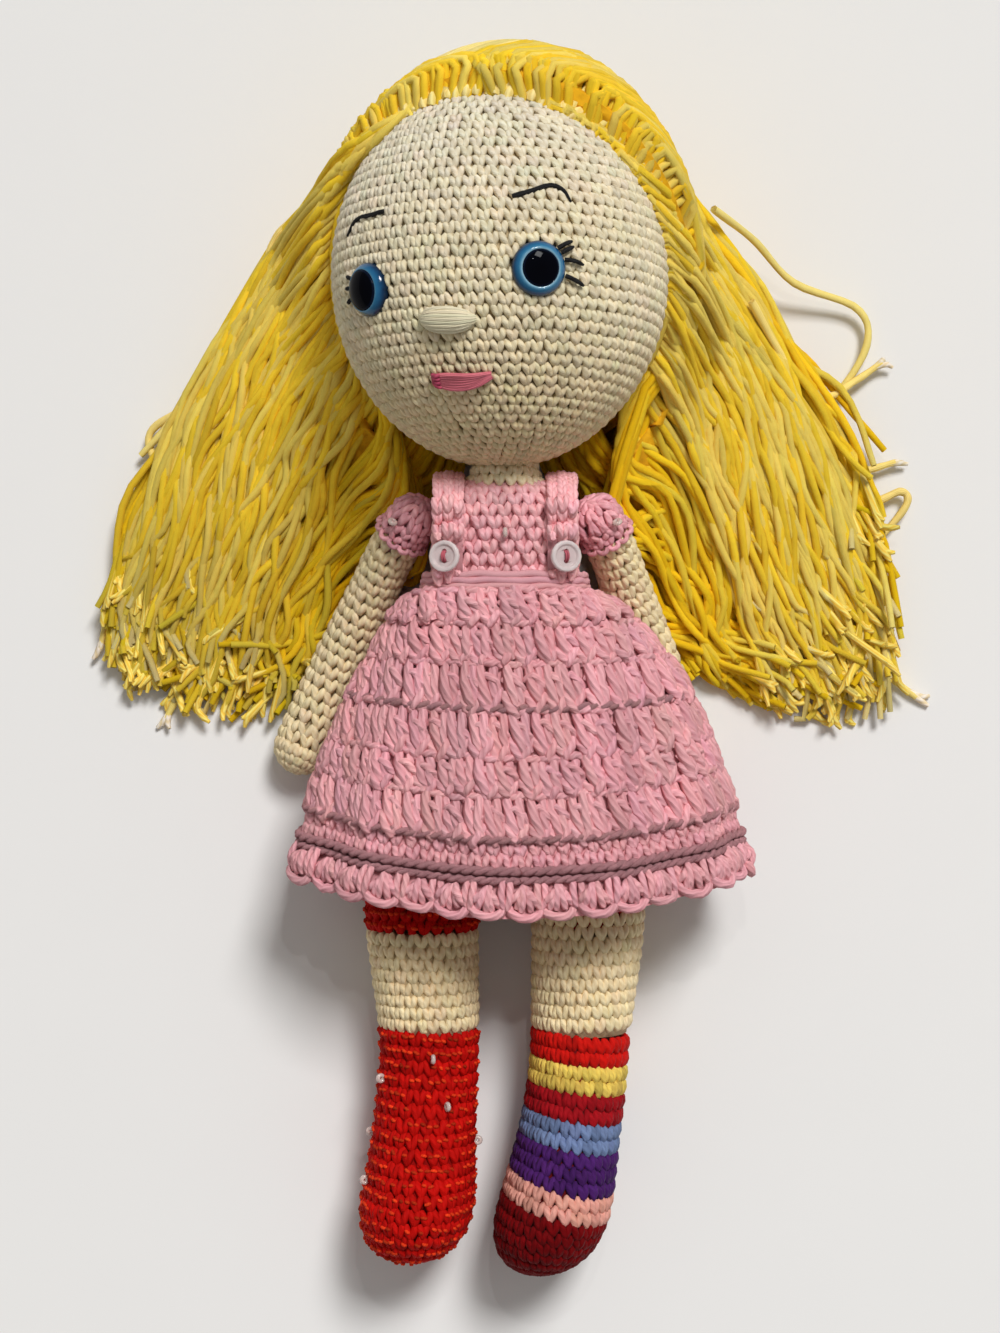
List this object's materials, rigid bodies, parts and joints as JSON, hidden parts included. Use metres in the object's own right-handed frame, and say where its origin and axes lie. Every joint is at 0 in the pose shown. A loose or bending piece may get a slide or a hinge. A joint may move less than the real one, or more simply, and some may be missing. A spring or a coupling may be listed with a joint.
{
  "type": "amigurumi doll",
  "caption": "Crocheted girl doll lying on its back, with loose yarn hair, buttoned bell dress, jointed neck, arms and legs, one boot and one striped sock.",
  "frame": {"origin": "centre of the bounding box, on the surface that the doll lies on", "axes": "+Y from the feet to the crown, +Z out of the doll's front, +X to the doll's left"},
  "size_m": [0.2074, 0.292, 0.0875],
  "materials": {
    "skin_yarn": "matte",
    "pink_yarn": "matte",
    "dress_yarn": "matte",
    "red_yarn": "matte",
    "sock_yarn": "matte",
    "hair_yarn": "matte",
    "black_thread": "matte",
    "mouth_thread": "matte",
    "nose_thread": "matte",
    "pink_thread": "matte",
    "eye_plastic": "gloss",
    "pupil_plastic": "gloss",
    "washer_plastic": "satin",
    "button_plastic": "gloss",
    "bead_plastic": "gloss"
  },
  "bodies": {
    "body": {"torso": "pink_yarn", "underpants": "red_yarn", "waistband": "dress_yarn", "skirt": "dress_yarn", "right_strap": "dress_yarn", "left_strap": "dress_yarn", "right_button": "button_plastic", "left_button": "button_plastic", "right_button_thread": "pink_thread", "left_button_thread": "pink_thread", "bodice_bead": "bead_plastic"},
    "neck_part": {"neck": "skin_yarn"},
    "head_part": {"head": "skin_yarn", "right_eye": "eye_plastic", "left_eye": "eye_plastic", "right_pupil": "pupil_plastic", "left_pupil": "pupil_plastic", "right_eye_washer": "washer_plastic", "left_eye_washer": "washer_plastic", "nose": "nose_thread", "mouth": "mouth_thread", "right_brow": "black_thread", "left_brow": "black_thread", "right_lash_1": "black_thread", "right_lash_2": "black_thread", "right_lash_3": "black_thread", "left_lash_1": "black_thread", "left_lash_2": "black_thread", "left_lash_3": "black_thread", "left_lash_4": "black_thread", "hair_cap": "hair_yarn", "right_hair_fall": "hair_yarn", "left_hair_fall": "hair_yarn"},
    "right_arm_part": {"right_sleeve": "pink_yarn", "right_arm": "skin_yarn", "right_sleeve_bead": "bead_plastic"},
    "left_arm_part": {"left_sleeve": "pink_yarn", "left_arm": "skin_yarn", "left_sleeve_bead": "bead_plastic"},
    "right_leg_part": {"right_pants_leg": "red_yarn", "right_leg": "skin_yarn", "right_boot": "red_yarn", "boot_bead_1": "bead_plastic", "boot_bead_2": "bead_plastic", "boot_bead_3": "bead_plastic", "boot_bead_4": "bead_plastic", "boot_bead_5": "bead_plastic", "boot_bead_6": "bead_plastic"},
    "left_leg_part": {"left_pants_leg": "red_yarn", "left_leg": "skin_yarn", "left_sock": "sock_yarn"}
  },
  "joints": [
    {"name": "neck_nod", "type": "hinge", "parent": "body", "child": "neck_part", "pos_m": [0, 0.0465, 0.042], "axis": [1, 0, 0], "range_deg": [-8, 14], "deforming": ["right_hair_fall", "left_hair_fall"]},
    {"name": "head_turn", "type": "hinge", "parent": "neck_part", "child": "head_part", "pos_m": [0, 0.055, 0.042], "axis": [0, 1, 0], "range_deg": [-25, 25], "deforming": ["right_hair_fall", "left_hair_fall"]},
    {"name": "right_arm_swing", "type": "hinge", "parent": "body", "child": "right_arm_part", "pos_m": [-0.0222, 0.038, 0.033], "axis": [-0.6259, 0.5626, -0.5401], "range_deg": [0, 70]},
    {"name": "left_arm_swing", "type": "hinge", "parent": "body", "child": "left_arm_part", "pos_m": [0.0222, 0.038, 0.033], "axis": [-0.6455, -0.512, 0.5667], "range_deg": [0, 70]},
    {"name": "right_leg_bend", "type": "hinge", "parent": "body", "child": "right_leg_part", "pos_m": [-0.0203, -0.044, 0.02], "axis": [-1, 0, 0], "range_deg": [-4, 40]},
    {"name": "left_leg_bend", "type": "hinge", "parent": "body", "child": "left_leg_part", "pos_m": [0.0203, -0.044, 0.02], "axis": [-1, 0, 0], "range_deg": [-4, 40]}
  ]
}
